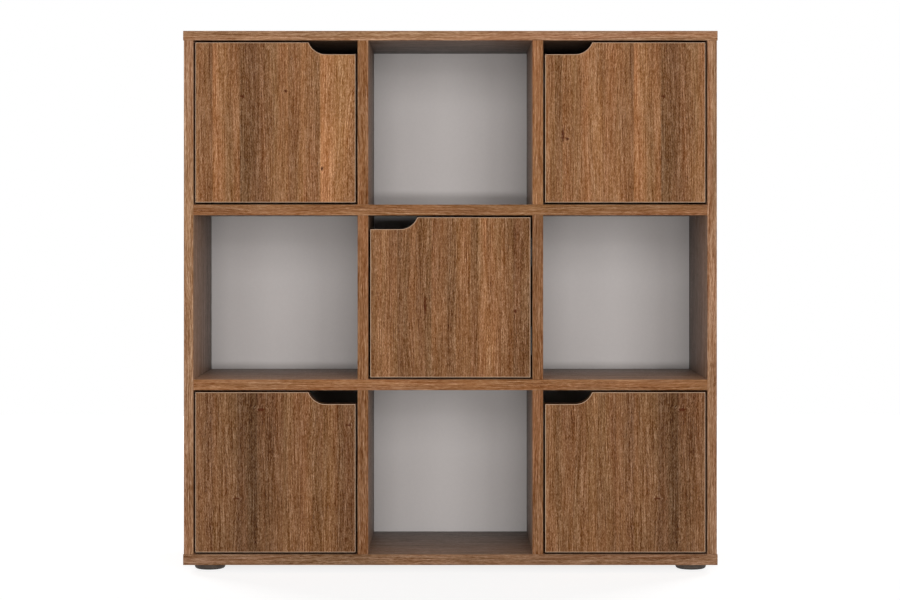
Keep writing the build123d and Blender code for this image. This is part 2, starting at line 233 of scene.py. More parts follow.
# Printed decors: the stretch across each in mm, its planks as (left edge in mm, tone at the left, tone at
# the right) and its knots as (across mm, along mm, half width mm, half length mm). The two upper corner
# doors are cut from one decor, and the two lower ones from another.
UPPER_PRINT = {
    "foil": "walnut_foil_upper",
    "span": (-120.0, 272.0),
    "planks": [
        (-120, 1.00, 0.97), (-104, 0.94, 0.92), (-90, 1.00, 1.04), (-40, 1.05, 1.02), (0, 1.03, 0.97),
        (22, 0.92, 0.92), (30, 1.12, 0.98), (76, 0.84, 0.78), (104, 0.85, 1.07), (157, 0.93, 1.07),
        (183, 1.02, 0.97), (211, 1.29, 1.04),
    ],
    "knots": [
        (153, 810, 2.5, 3), (214, 679, 2.5, 3), (80, 801, 4, 2.5), (-89, 736, 2, 12), (-82, 730, 4, 2),
    ],
}
LOWER_PRINT = {
    "foil": "walnut_foil_lower",
    "span": (-120.0, 272.0),
    "planks": [
        (-120, 1.09, 1.03), (-90, 1.04, 1.12), (-30, 1.02, 1.06), (0, 1.06, 1.00), (30, 1.04, 0.97),
        (70, 0.90, 0.83), (104, 0.87, 0.96), (118, 0.91, 1.00), (148, 1.07, 1.05), (176, 1.08, 1.10),
        (198, 1.02, 1.03), (214, 1.11, 1.05), (240, 0.98, 0.96),
    ],
    "knots": [(111, 274, 6.5, 2), (70, 124, 5, 2), (259, 248, 4, 2)],
}
CENTRE_PRINT = {
    "foil": "walnut_foil_centre",
    "span": (0.0, 272.0),
    "planks": [
        (0, 0.97, 1.09), (20, 1.07, 0.99), (46, 0.92, 0.95), (56, 0.96, 1.00), (76, 1.01, 0.98),
        (104, 1.03, 1.00), (130, 0.93, 0.97), (146, 1.07, 1.03), (170, 0.97, 0.94), (182, 1.06, 1.14),
        (196, 1.13, 1.07), (220, 1.01, 0.98), (242, 0.90, 0.89),
    ],
    "knots": [(93, 448, 2, 13), (245, 440, 2.5, 3.5)],
}
# Each door's print, where the door begins on it in mm, and the print's tone as seen. The tone also holds
# painted shade: the lower doors are darker, as the light falls off towards the floor.
DOOR_PRINTS = {
    "top_left": (UPPER_PRINT, 0.0, 1.02),
    "top_right": (UPPER_PRINT, -120.0, 1.035),
    "centre": (CENTRE_PRINT, 0.0, 0.965),
    "bottom_left": (LOWER_PRINT, 0.0, 0.87),
    "bottom_right": (LOWER_PRINT, -120.0, 0.885),
}
# Boards come from different sheets: tone of the print, as seen, at the low and the high end of its grain.
# The tones also hold painted shade, darkest on the lowest boards, as the light falls off towards the floor.
BOARD_TONES_AND_SHADE = {
    "top_panel": (1.035, 1.035),
    "bottom_panel": (0.88, 0.88),
    "left_side": (1.0, 1.01),
    "right_side": (0.93, 1.04),
    "upper_shelf": (0.95, 0.95),
    "lower_shelf": (1.005, 1.005),
    "divider_top_left": (0.945, 0.945),
    "divider_top_right": (1.0, 1.0),
    "divider_middle_left": (0.96, 0.96),
    "divider_middle_right": (0.9, 0.9),
    "divider_bottom_left": (0.895, 0.895),
    "divider_bottom_right": (0.905, 0.905),
}
SEED_STEP, PLACE_STEP = 11.0, 37.0  # set each board's grain apart from the one before
# Painted light and shade in a cell, as tones of the print as seen: at the front, near the back panel, and
# in the corner along it.
CELL_SHADE = (1.2, 0.65, 0.4)
# Near the back panel the painted shade deepens to the corner tone; the boards are cut this far in front of
# it.
CELL_CORNER = 18 * MM
CEILING_SHADE, WALL_SHADE = 0.66, 0.92  # further painted shade on a cell's ceiling and on its walls
SEEN_TONE = 2.2  # power that turns a tone as seen into light
RAMP_ROOM = 2.0  # tones are divided by this to fit a ramp
PLANK_JOIN = 0.6  # half width in mm of the change from one plank to the next
SEED_SPREAD = 90.0  # sets the planks' seeds apart
# Specular level of the foil outside, and in the cells, where it is seen at a flat angle.
FACE_SHEEN, CELL_SHEEN = 0.2, 0.5
STRIP_SHEEN, GAP_SHADE_SHEEN = 0.5, 0.0  # and of the doors' edges: the pale painted highlight and the painted gap shade
BARK = "#4A1C02"  # colour of the knots
KNOT_DEPTH = 0.95  # share of bark in the middle of a knot
# Fibres of the print: width and length in mm, and depth of the seen tone. Real ones are 0.3 mm wide
# and are drawn as wide as shows from a step away.
DOOR_FIBRES = ((0.6, 3.6, 0.23), (0.6, 12.0, 0.18), (0.6, 80.0, 0.24))
BOARD_FIBRES = ((0.8, 8.0, 0.20), (0.8, 34.0, 0.20), (0.8, 140.0, 0.22))
FIBRE_FADE = 0.3  # share of a fibre's length over which each end fades
# Broad streaks and mottle: width and length in mm, and depth of tone.
STREAKS = ((14.0, 450.0, 0.12), (25.0, 90.0, 0.08))
NOISE_LOW, NOISE_HIGH = 0.3, 0.7  # most of a noise lies between
NEARLY_BLACK = (0.03, 0.03, 0.03)  # no pore is darker, as seen


def on_ramp(decor, across):
    """Where a place across a decor, in mm, lies on a colour ramp."""
    low, high = decor["span"]
    return (across - low) / (high - low)


def plank_stops(decor):
    """Colour ramp stops for the planks: their seen tones as light, made to fit a ramp."""
    edges = [edge for edge, _, _ in decor["planks"]] + [decor["span"][1]]
    stops = []
    for (edge, left, right), end in zip(decor["planks"], edges[1:]):
        stops.append((on_ramp(decor, edge + PLANK_JOIN), left**SEEN_TONE / RAMP_ROOM))
        stops.append((on_ramp(decor, end - PLANK_JOIN), right**SEEN_TONE / RAMP_ROOM))
    return stops


def seed_stops(decor):
    """Colour ramp stops that give each plank its own value, so that the grain breaks at the joins."""
    edges = [edge for edge, _, _ in decor["planks"]]
    stride = 5  # keeps the values of neighbours apart
    return [(on_ramp(decor, edge), i * stride % len(edges) / len(edges)) for i, edge in enumerate(edges)]


def plank_print(tree, across, decor):
    """The planks' tone and seed."""
    low, high = decor["span"]
    place = add(tree, "MapRange", {"Value": across, "From Min": low, "From Max": high})
    ramp = add(tree, "ValToRGB", {"Fac": place}, plank_stops(decor))
    tone = add(tree, "Math", {0: ramp, 1: RAMP_ROOM}, operation="MULTIPLY")
    seed = add(tree, "ValToRGB", {"Fac": place}, seed_stops(decor))
    seed.color_ramp.interpolation = "CONSTANT"
    return tone, seed


def knot_print(tree, grain, across, knots):
    """The place across the grain, bent round the knots, and how dark the knots are."""
    # Their outlines are torn by up to 2.5 by 4 mm, in patches of 3 by 4 mm.
    ragged = grain_noise(tree, grain, 3, 4, Detail=2.0).outputs["Color"]
    ragged = add(tree, "VectorMath", {0: ragged, 1: (0.5, 0.5, 0.5)}, operation="SUBTRACT")
    torn = add(tree, "VectorMath", {0: ragged, 1: (5.0, 8.0, 0.0), 2: grain}, operation="MULTIPLY_ADD")
    # A spot ends at 1.4 of the knot's half size, and the grain bends round it out to 4.5.
    dark = 0.0
    for at_x, at_z, half_w, half_l in knots:
        offset = add(tree, "VectorMath", {0: torn, 1: (at_x, at_z, 0.0)}, operation="SUBTRACT")
        shares = (1 / half_w, 1 / half_l, 0.0)
        scaled = add(tree, "VectorMath", {0: offset, 1: shares}, operation="MULTIPLY")
        reach = add(tree, "VectorMath", {0: scaled}, operation="LENGTH").outputs["Value"]
        spot = add(
            tree, "MapRange",
            {"Value": reach, "From Min": 0.5, "From Max": 1.4, "To Min": 1.0, "To Max": 0.0},
            interpolation_type="SMOOTHSTEP",
        )
        halo = add(
            tree, "MapRange",
            {"Value": reach, "From Min": 0.5, "From Max": 4.5, "To Min": 0.45, "To Max": 0.0},
            interpolation_type="SMOOTHSTEP",
        )
        aside = add(tree, "SeparateXYZ", {"Vector": offset}).outputs["X"]
        bend = add(tree, "Math", {0: aside, 1: halo}, operation="MULTIPLY")
        across = add(tree, "Math", {0: across, 1: bend}, operation="SUBTRACT")
        dark = add(tree, "Math", {0: spot, 1: dark}, operation="MAXIMUM")
    return across, dark


def fibres(tree, flow, width, length):
    """Fine fibres of a width and length in mm, with tones from -0.5 to 0.5 that fade at both ends."""
    at = add(tree, "VectorMath", {0: flow, 1: (1 / width, 1 / length, 1.0)}, operation="MULTIPLY")
    column, height, seed = add(tree, "SeparateXYZ", {"Vector": at}).outputs
    column = add(tree, "Math", {0: column}, operation="FLOOR")
    start = add(tree, "TexWhiteNoise", {"W": column}, noise_dimensions="1D").outputs["Value"]
    height = add(tree, "Math", {0: start, 1: length, 2: height}, operation="MULTIPLY_ADD")
    end = add(tree, "Math", {0: height, 1: 0.5}, operation="PINGPONG")
    body = add(tree, "MapRange", {"Value": end, "From Max": FIBRE_FADE}, interpolation_type="SMOOTHSTEP")
    height = add(tree, "Math", {0: height}, operation="FLOOR")
    fibre = add(tree, "CombineXYZ", {"X": column, "Y": height, "Z": seed})
    tone = add(tree, "TexWhiteNoise", {"Vector": fibre}, noise_dimensions="3D").outputs["Value"]
    tone = add(tree, "Math", {0: tone, 1: 0.5}, operation="SUBTRACT")
    return add(tree, "Math", {0: tone, 1: body}, operation="MULTIPLY")


def walnut_foil(name, brown, sheen, decor=None):
    """Walnut-effect paper foil, printed and pressed onto particle board.

    The eye sees a satin print: planks of different tone, streaks along the grain, short dark and pale
    pores and a few knots. The pores are pressed in and a little duller than the rest.
    """
    material, tree, shader = new_material(name, {"IOR": 1.48, "Specular IOR Level": sheen})
    grain = add(tree, "Attribute", attribute_name="grain").outputs["Vector"]
    across, along, seed = add(tree, "SeparateXYZ", {"Vector": grain}).outputs
    # The print's tone as stored on the mesh, with its painted shade.
    tones = [add(tree, "Attribute", attribute_name="print_tone_and_shade").outputs["Fac"]]
    if decor:
        plank_tone, plank_seed = plank_print(tree, across, decor)
        tones.append(plank_tone)
        seed = add(tree, "Math", {0: plank_seed, 1: SEED_SPREAD, 2: seed}, operation="MULTIPLY_ADD")
        across, knot_dark = knot_print(tree, grain, across, decor["knots"])

    # The grain wanders by up to 13 mm, in waves of 60 by 300 mm.
    straight = add(tree, "CombineXYZ", {"X": across, "Y": along, "Z": seed})
    wander = grain_noise(tree, straight, 60, 300, Detail=1.5, Roughness=0.45)
    shift = add(tree, "MapRange", {"Value": wander, "To Min": -13.0, "To Max": 13.0})
    flow = add(tree, "Math", {0: across, 1: shift}, operation="ADD")
    flow = add(tree, "CombineXYZ", {"X": flow, "Y": along, "Z": seed})
    for width, length, depth in STREAKS:
        noise = grain_noise(tree, flow, width, length, Detail=1.0, Roughness=0.5)
        span = {"From Min": NOISE_LOW, "From Max": NOISE_HIGH, "To Min": 1 - depth, "To Max": 1 + depth}
        tones.append(add(tree, "MapRange", {"Value": noise, **span}))

    # The hue turns between red-brown and golden brown in bands of 20 by 400 mm.
    hue = grain_noise(tree, flow, 20, 400, spread=5.0, Detail=1.0)
    turn = add(tree, "MapRange", {"Value": hue, "From Min": NOISE_LOW, "From Max": NOISE_HIGH})
    red, green, blue = brown
    reddish = (red * 1.02, green * 0.97, blue * 0.98)
    golden = (red * 0.98, green * 1.03, blue * 1.02)
    base = add(tree, "Mix", {"Factor": turn, "A": rgba(reddish), "B": rgba(golden)}, data_type="RGBA")
    paint = tinted(tree, base.outputs["Result"], *tones)

    # Pores and fine lines shift all three colours alike to the eye.
    pores = 0.0
    for width, length, depth in DOOR_FIBRES if decor else BOARD_FIBRES:
        fibre = fibres(tree, flow, width, length)
        pores = add(tree, "Math", {0: fibre, 1: depth, 2: pores}, operation="MULTIPLY_ADD")
    seen = add(tree, "Gamma", {"Color": paint, "Gamma": 1 / SEEN_TONE})
    seen = add(tree, "VectorMath", {0: seen, 1: pores}, operation="ADD")
    seen = add(tree, "VectorMath", {0: seen, 1: NEARLY_BLACK}, operation="MAXIMUM")
    paint = add(tree, "Gamma", {"Color": seen, "Gamma": SEEN_TONE})
    if decor:
        knotted = add(tree, "Math", {0: knot_dark, 1: KNOT_DEPTH}, operation="MULTIPLY")
        bark = rgba(linear(BARK))
        paint = add(tree, "Mix", {"Factor": knotted, "A": paint, "B": bark}, data_type="RGBA")
        paint = paint.outputs["Result"]
    gloss = add(
        tree, "MapRange",
        {"Value": pores, "From Min": -0.1, "From Max": 0.1, "To Min": 0.58, "To Max": 0.40},
    )

    # The press leaves ridges along the grain, some 1.5 mm wide and 25 mm long.
    ridges = grain_noise(tree, flow, 1.5, 25, Detail=1.0)
    relief = add(tree, "Bump", {"Height": ridges, "Strength": 0.3, "Distance": 0.06 * MM})
    set_inputs(tree, shader, {"Base Color": paint, "Roughness": gloss, "Normal": relief})
    return material


def painted_edge(name, colour, sheen):
    """ABS edge strip, eased to a small radius, in a painted tone.

    Pale, it is a painted highlight where the edge faces the front; dark, it is painted shade on the edge's
    outer part, which darkens the gap round the door. It is a little dull, with fine marks along it.
    """
    material, tree, shader = new_material(name, {"IOR": 1.53, "Specular IOR Level": sheen})
    grain = add(tree, "Attribute", attribute_name="grain").outputs["Vector"]
    marks = grain_noise(tree, grain, 1.5, 22, Detail=2.0)
    gain = add(tree, "MapRange", {"Value": marks, "To Min": 0.7, "To Max": 1.3})
    paint = tinted(tree, colour, gain)
    gloss = add(tree, "MapRange", {"Value": marks, "To Min": 0.6, "To Max": 0.42})
    set_inputs(tree, shader, {"Base Color": paint, "Roughness": gloss})
    return material


def chipboard(name, colour):
    """Bare particle board, sawn.

    Pale and dark chips of about 3 mm lie in a dusty matrix, rough to the light.
    """
    material, tree, shader = new_material(name, {"Roughness": 0.85, "IOR": 1.45})
    at = add(tree, "NewGeometry").outputs["Position"]
    chips = add(tree, "TexVoronoi", {"Vector": at, "Scale": 1 / (3.0 * MM), "Randomness": 1.0}).outputs
    shade = add(tree, "SeparateColor", {"Color": chips["Color"]})
    gain = add(tree, "MapRange", {"Value": shade, "To Min": 0.55, "To Max": 1.25})
    paint = tinted(tree, colour, gain)
    relief = add(tree, "Bump", {"Height": chips["Distance"], "Strength": 0.5, "Distance": 0.4 * MM})
    set_inputs(tree, shader, {"Base Color": paint, "Normal": relief})
    return material


def white_lacquer(name, colour):
    """White lacquer rolled on hardboard.

    An even pale surface with a faint orange peel of about 4 mm and a slow drift in tone.
    """
    material, tree, shader = new_material(name, {"IOR": 1.5})
    at = add(tree, "NewGeometry").outputs["Position"]
    peel = add(tree, "TexNoise", {"Vector": at, "Scale": 1 / (4.0 * MM), "Detail": 2.0})
    drift = add(tree, "TexNoise", {"Vector": at, "Scale": 1 / (160.0 * MM), "Detail": 2.0})
    gain = add(tree, "MapRange", {"Value": drift, "To Min": 0.95, "To Max": 1.05})
    speck = add(tree, "MapRange", {"Value": peel, "To Min": 0.97, "To Max": 1.03})
    paint = tinted(tree, colour, gain, speck)
    gloss = add(tree, "MapRange", {"Value": peel, "To Min": 0.42, "To Max": 0.58})
    relief = add(tree, "Bump", {"Height": peel, "Strength": 0.12, "Distance": 0.2 * MM})
    set_inputs(tree, shader, {"Base Color": paint, "Roughness": gloss, "Normal": relief})
    return material


def hardboard(name, colour):
    """Bare hardboard, pressed on a wire screen.

    Brown felted fibres of about 6 mm, with the screen's fine square print, drawn at 5 mm so that it shows.
    """
    material, tree, shader = new_material(name, {"Roughness": 0.8, "IOR": 1.45})
    at = add(tree, "NewGeometry").outputs["Position"]
    fibre = add(tree, "TexNoise", {"Vector": at, "Scale": 1 / (6.0 * MM), "Detail": 6.0, "Roughness": 0.7})
    cloud = add(tree, "TexNoise", {"Vector": at, "Scale": 1 / (70.0 * MM), "Detail": 3.0})
    gain = add(tree, "MapRange", {"Value": fibre, "To Min": 0.5, "To Max": 1.5})
    drift = add(tree, "MapRange", {"Value": cloud, "To Min": 0.8, "To Max": 1.2})
    pitch = 5.0 * MM
    turns = add(tree, "VectorMath", {0: at, "Scale": math.tau / pitch}, operation="SCALE")
    wires = add(tree, "VectorMath", {0: turns}, operation="SINE")
    wire = add(tree, "SeparateXYZ", {"Vector": wires}).outputs
    screen = add(tree, "Math", {0: wire["X"], 1: wire["Z"]}, operation="MULTIPLY")
    print_gain = add(tree, "Math", {0: screen, 1: 0.10, 2: 1.0}, operation="MULTIPLY_ADD")
    paint = tinted(tree, colour, gain, drift, print_gain)
    relief = add(tree, "Bump", {"Height": screen, "Strength": 0.5, "Distance": 0.2 * MM})
    set_inputs(tree, shader, {"Base Color": paint, "Normal": relief})
    return material


def moulded_plastic(name, colour):
    """Dark polyethylene, injection moulded with a fine spark texture.

    A soft dull sheen, with paler scuffs, and painted shade that darkens it towards the sole. The texture is
    drawn at 1.2 mm so that it shows.
    """
    material, tree, shader = new_material(name, {"IOR": 1.51, "Specular IOR Level": 0.2})
    at = add(tree, "NewGeometry").outputs["Position"]
    spark = add(tree, "TexNoise", {"Vector": at, "Scale": 1 / (1.2 * MM), "Detail": 2.0})
    scuff = add(tree, "TexNoise", {"Vector": at, "Scale": 1 / (9.0 * MM), "Detail": 4.0, "Roughness": 0.65})
    gain = add(
        tree, "MapRange",
        {"Value": scuff, "From Min": 0.35, "From Max": 0.75, "To Min": 0.8, "To Max": 1.5},
    )
    height = add(tree, "SeparateXYZ", {"Vector": at}).outputs["Z"]
    # Painted shade: darker within 3.5 mm of the floor.
    painted_sole_shade = add(
        tree, "MapRange",
        {"Value": height, "From Min": 1.0 * MM, "From Max": 3.5 * MM, "To Min": 0.2, "To Max": 1.0},
        interpolation_type="SMOOTHSTEP",
    )
    paint = tinted(tree, colour, gain, painted_sole_shade)
    gloss = add(tree, "MapRange", {"Value": scuff, "To Min": 0.4, "To Max": 0.65})
    relief = add(tree, "Bump", {"Height": spark, "Strength": 0.25, "Distance": 0.1 * MM})
    set_inputs(tree, shader, {"Base Color": paint, "Roughness": gloss, "Normal": relief})
    return material


def bright_zinc(name, colour, roughness, lines):
    """Zinc on steel or die-cast zinc.

    A grey metal with a cloudy sheen and fine marks from rolling or tumbling, drawn a few mm long.
    """
    material, tree, shader = new_material(name, {"Metallic": 1.0})
    at = add(tree, "NewGeometry").outputs["Position"]
    cloud = add(tree, "TexNoise", {"Vector": at, "Scale": 1 / (7.0 * MM), "Detail": 3.0})
    stretched = add(tree, "VectorMath", {0: at, 1: lines}, operation="MULTIPLY")
    marks = add(tree, "TexNoise", {"Vector": stretched, "Scale": 1 / MM, "Detail": 2.0})
    gain = add(tree, "MapRange", {"Value": cloud, "To Min": 0.82, "To Max": 1.15})
    paint = tinted(tree, colour, gain)
    gloss = add(tree, "MapRange", {"Value": marks, "To Min": roughness - 0.1, "To Max": roughness + 0.14})
    relief = add(tree, "Bump", {"Height": marks, "Strength": 0.1, "Distance": 0.05 * MM})
    set_inputs(tree, shader, {"Base Color": paint, "Roughness": gloss, "Normal": relief})
    return material


def zinc_finishes(fittings):
    """Plated steel, with marks drawn out along Z, and die-cast zinc, with round marks."""
    steel = shared("zinc_plated_steel", bright_zinc, fittings.zinc, 0.34, (1.0, 1.0, 0.2))
    cast = shared("die_cast_zinc", bright_zinc, fittings.casting, 0.42, (1.0, 1.0, 1.0))
    return steel, cast


def turned_beech(name, colour):
    """Turned beech, unfinished.

    A pale even wood with small dark flecks along the grain, about 3 mm long.
    """
    material, tree, shader = new_material(name, {"Roughness": 0.7, "IOR": 1.45})
    at = add(tree, "NewGeometry").outputs["Position"]
    fleck_at = add(tree, "VectorMath", {0: at, 1: (1.0, 1.0, 0.3)}, operation="MULTIPLY")
    fleck = add(tree, "TexNoise", {"Vector": fleck_at, "Scale": 1 / MM, "Detail": 2.0})
    gain = add(tree, "MapRange", {"Value": fleck, "To Min": 0.7, "To Max": 1.2})
    paint = tinted(tree, colour, gain)
    set_inputs(tree, shader, {"Base Color": paint})
    return material


# Meshes

# The fourth place holds the painted shade on the outer part of a door's eased edge.
FOIL, CORE, STRIP, GAP_SHADE = range(4)
LINING = STRIP  # place of the cells' foil on a board
SMOOTH_ANGLE = math.radians(32)  # steeper edges stay sharp
FACING = 0.5  # a face looks along an axis if its normal has more than this along it


def corners_of(points):
    """The lowest and highest corner of a box round points."""
    low = Vector([min(point[i] for point in points) for i in range(3)])
    high = Vector([max(point[i] for point in points) for i in range(3)])
    return low, high


def solids_of(node):
    """The points of each separate solid of a CAD node."""
    bm = bmesh.new()
    bm.from_mesh(frame["nodes"][node].data)
    bmesh.ops.remove_doubles(bm, verts=bm.verts, dist=1e-6)
    solids = []
    waiting = set(bm.verts)
    while waiting:
        reached = [waiting.pop()]
        for vert in reached:
            joined = {edge.other_vert(vert) for edge in vert.link_edges} & waiting
            waiting -= joined
            reached += joined
        solids.append([vert.co.copy() for vert in reached])
    bm.free()
    return sorted(solids, key=lambda points: tuple(corners_of(points)[0]))


def box_mesh(low, high):
    """A box between two corners."""
    bm = bmesh.new()
    bmesh.ops.create_cube(bm, size=1.0)
    bmesh.ops.scale(bm, vec=high - low, verts=bm.verts)
    bmesh.ops.translate(bm, vec=(low + high) / 2, verts=bm.verts)
    return bm


def circle(radius, steps):
    """Points of a circle about the origin, as (x, y)."""
    angles = [math.tau * turn / steps for turn in range(steps)]
    return [(radius * math.cos(a), radius * math.sin(a)) for a in angles]


def lathe(bm, profile, at, steps, closed=False):
    """Turns a profile of (radius, height) about the Z axis of a matrix. Returns the rings of points."""
    rings = []
    for radius, height in profile:
        ring = circle(radius, steps) if radius else [(0.0, 0.0)]
        rings.append([bm.verts.new(at @ Vector((x, y, height))) for x, y in ring])
    pairs = list(zip(rings, rings[1:]))
    if closed:
        pairs.append((rings[-1], rings[0]))
    for low, high in pairs:
        for turn in range(steps):
            corners = [
                low[turn % len(low)], low[(turn + 1) % len(low)],
                high[(turn + 1) % len(high)], high[turn % len(high)],
            ]
            bm.faces.new(dict.fromkeys(corners))  # a point on the axis counts once
    return rings


def closed_loop(bm, points):
    """A closed loop through points. Returns its points and edges."""
    verts = [bm.verts.new(point) for point in points]
    edges = [bm.edges.new(pair) for pair in zip(verts, verts[1:] + verts[:1])]
    return verts, edges


def bridge(bm, first, second):
    """Faces between two loops with as many points."""
    for i, start in enumerate(first):
        after = (i + 1) % len(first)
        bm.faces.new((start, first[after], second[after], second[i]))


def sink(bm, mouth, floor_points):
    """Walls from a loop down to another with as many points, closed by a floor."""
    floor, _ = closed_loop(bm, floor_points)
    bridge(bm, mouth, floor)
    return bm.faces.new(floor)


def fill_between(bm, ring, hole_edges):
    """The flat face between a ring of points and the edges of the holes in it."""
    ring_edges = [bm.edges.get(pair) for pair in zip(ring, ring[1:] + ring[:1])]
    bmesh.ops.triangle_fill(bm, use_beauty=True, edges=ring_edges + hole_edges)


def write_grain(mesh, grain_axis, start, seed, offset, tones):
    """Stores on each corner where it lies on the foil: across and along the grain in mm, and a seed.

    The grain follows one axis. On a face square to that axis it follows the face's longer side. The
    print's tone, as seen, with its painted shade, goes from one value to another along the axis.
    """
    low, high = corners_of([vert.co for vert in mesh.vertices])
    size = high - low
    places, tone = [], []
    for face in mesh.polygons:
        normal = [abs(part) for part in face.normal]
        facing = normal.index(max(normal))
        others = [axis for axis in range(3) if axis != facing]
        along = grain_axis if facing != grain_axis else max(others, key=lambda axis: size[axis])
        across = next(axis for axis in others if axis != along)
        for corner in face.loop_indices:
            point = mesh.vertices[mesh.loops[corner].vertex_index].co
            share = (point[grain_axis] - low[grain_axis]) / size[grain_axis]
            tone.append((tones[0] + (tones[1] - tones[0]) * share) ** SEEN_TONE)
            places += [(point[across] - start[across]) / MM + offset, point[along] / MM, seed]
    mesh.attributes.new("grain", "FLOAT_VECTOR", "CORNER").data.foreach_set("vector", places)
    mesh.attributes.new("print_tone_and_shade", "FLOAT", "CORNER").data.foreach_set("value", tone)


def place_piece(name, bm, materials, body, node):
    """Makes an object of a mesh, rides it on its body and lets it stand for a CAD node."""
    bmesh.ops.recalc_face_normals(bm, faces=bm.faces)
    mesh = bpy.data.meshes.new(name)
    bm.to_mesh(mesh)
    bm.free()
    for material in materials:
        mesh.materials.append(material)
    mesh.shade_smooth()
    mesh.set_sharp_from_angle(angle=SMOOTH_ANGLE)
    piece = bpy.data.objects.new(name, mesh)
    bpy.context.scene.collection.objects.link(piece)
    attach(piece, body)
    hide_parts(node)
    return piece


def ease_node(node, material, width):
    """Gives a CAD node a finish, and eases its edges with modifiers."""
    piece = frame["nodes"][node]
    piece.data.materials.clear()
    piece.data.materials.append(material)
    weld = piece.modifiers.new("weld", "WELD")
    weld.merge_threshold = 0.002 * MM
    ease = piece.modifiers.new("ease", "BEVEL")
    ease.width, ease.segments = width, 2
    ease.limit_method, ease.angle_limit = "ANGLE", math.radians(30)
    ease.harden_normals = True


# Boards and back panel

def looks_into_cell(normal, centre):
    """Whether a board's face lies inside the carcass, and not on its outer shell."""
    skin = 3.0 * MM
    low, high = SHELL
    return not any(
        abs(normal[i]) > FACING and min(centre[i] - low[i], high[i] - centre[i]) < skin for i in range(3)
    )


def board_mesh(low, high, ease, all_round, corner_y):
    """A board with eased edges, cut where the painted corner shade begins, with its places for foil, core
    and lining.
    """
    bm = box_mesh(low, high)
    front = next(face for face in bm.faces if face.normal.y < -FACING)
    for face in bm.faces:
        face.material_index = CORE if face.normal.y > FACING else FOIL
    edges = bm.edges[:] if all_round else front.edges[:]
    bmesh.ops.bevel(bm, geom=edges, offset=ease, segments=3, profile=0.5, affect="EDGES", material=-1)
    geometry = bm.verts[:] + bm.edges[:] + bm.faces[:]
    bmesh.ops.bisect_plane(bm, geom=geometry, plane_co=(0.0, corner_y, 0.0), plane_no=(0, 1, 0))
    for face in bm.faces:
        if face.material_index == FOIL and looks_into_cell(face.normal, face.calc_center_median()):
            face.material_index = LINING
    return bm


def paint_cell_shade(mesh, back):
    """Paints shade on the faces that look into a cell: lighter at the front, darker towards the back,
    darkest in the corner along the back panel, and darker on ceilings and walls.
    """
    front, corner_y = SHELL[0].y, back - CELL_CORNER
    at_front, at_back, in_corner = CELL_SHADE
    tone = mesh.attributes["print_tone_and_shade"].data
    for face in mesh.polygons:
        if face.material_index != LINING:
            continue
        level = WALL_SHADE if abs(face.normal.x) > FACING else 1.0
        if face.normal.z < -FACING:
            level = CEILING_SHADE
        for corner in face.loop_indices:
            y = mesh.vertices[mesh.loops[corner].vertex_index].co.y
            share = (y - front) / (corner_y - front)
            seen = at_front + (at_back - at_front) * share
            seen = in_corner if y > back - CELL_CORNER / 2 else seen
            tone[corner].value *= (seen * level) ** SEEN_TONE


class CUBEUNIT_OT_boards(bpy.types.Operator):
    """Makes the foiled boards of the carcass, with eased and edged front edges"""

    bl_idname = "cube_unit.boards"
    bl_label = "Boards"

    def execute(self, context):
        wood, sizes = context.scene.cube_unit_wood, context.scene.cube_unit_doors
        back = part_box("back_panel")[0].y
        outer = shared("walnut_foil_outer", walnut_foil, wood.outer_foil, FACE_SHEEN)
        inner = shared("walnut_foil_inner", walnut_foil, wood.inner_foil, FACE_SHEEN)
        core = shared("sawn_chipboard", chipboard, wood.chipboard)
        lining = shared("walnut_foil_cell", walnut_foil, wood.cell_foil, CELL_SHEEN)
        for i, name in enumerate(UPRIGHT_BOARDS + LEVEL_BOARDS):
            low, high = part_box(name)
            bm = board_mesh(low, high, sizes.board_ease, name in EDGED_ALL_ROUND, back - CELL_CORNER)
            materials = [outer if name in OUTER_BOARDS else inner, core, lining]
            piece = place_piece(name + "_foiled", bm, materials, CARCASS, name)
            grain_axis = X if name in LEVEL_BOARDS else Z
            write_grain(piece.data, grain_axis, low, i * SEED_STEP, i * PLACE_STEP, BOARD_TONES_AND_SHADE[name])
            paint_cell_shade(piece.data, back)
        return {"FINISHED"}


class CUBEUNIT_OT_back(bpy.types.Operator):
    """Makes the hardboard back panel, lacquered on its front"""

    bl_idname = "cube_unit.back"
    bl_label = "Back panel"

    def execute(self, context):
        wood = context.scene.cube_unit_wood
        front, bare = 0, 1
        bm = box_mesh(*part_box("back_panel"))
        for face in bm.faces:
            face.material_index = front if face.normal.y < -FACING else bare
        rims = [e for f in bm.faces if abs(f.normal.y) > FACING for e in f.edges]
        bmesh.ops.bevel(
            bm, geom=rims, offset=0.3 * MM, segments=2, profile=0.5, affect="EDGES", material=bare
        )
        lacquer = shared("rolled_white_lacquer", white_lacquer, wood.lacquer)
        rear = shared("pressed_hardboard", hardboard, wood.hardboard)
        place_piece("back_panel_lacquered", bm, [lacquer, rear], CARCASS, "back_panel")
        return {"FINISHED"}


# Doors

CUP_LIP = 1.5 * MM  # rim of a hinge cup beyond its bore
HIGHLIGHT_FACING = 0.9  # what faces the front this squarely on an eased edge gets the pale painted highlight, and the rest the painted gap shade


def notched_outline(low, high, notch_right, sizes):
    """Points of a door's outline in x and z, with the finger notch in one upper corner."""
    steps = 14
    depth, radius, flat = sizes.notch_depth, sizes.notch_radius, sizes.notch_flat
    sweep = math.acos(1 - depth / radius)
    centre = (flat, high.z - depth + radius)
    arc = [sweep * step / steps for step in range(steps + 1)]
    curve = [(centre[0] + radius * math.sin(a), centre[1] - radius * math.cos(a)) for a in arc]
    width = high.x - low.x
    points = [(0.0, low.z), (0.0, high.z - depth), *curve, (width, high.z), (width, low.z)]
    if notch_right:
        return [(high.x - x, z) for x, z in points]
    return [(low.x + x, z) for x, z in points]


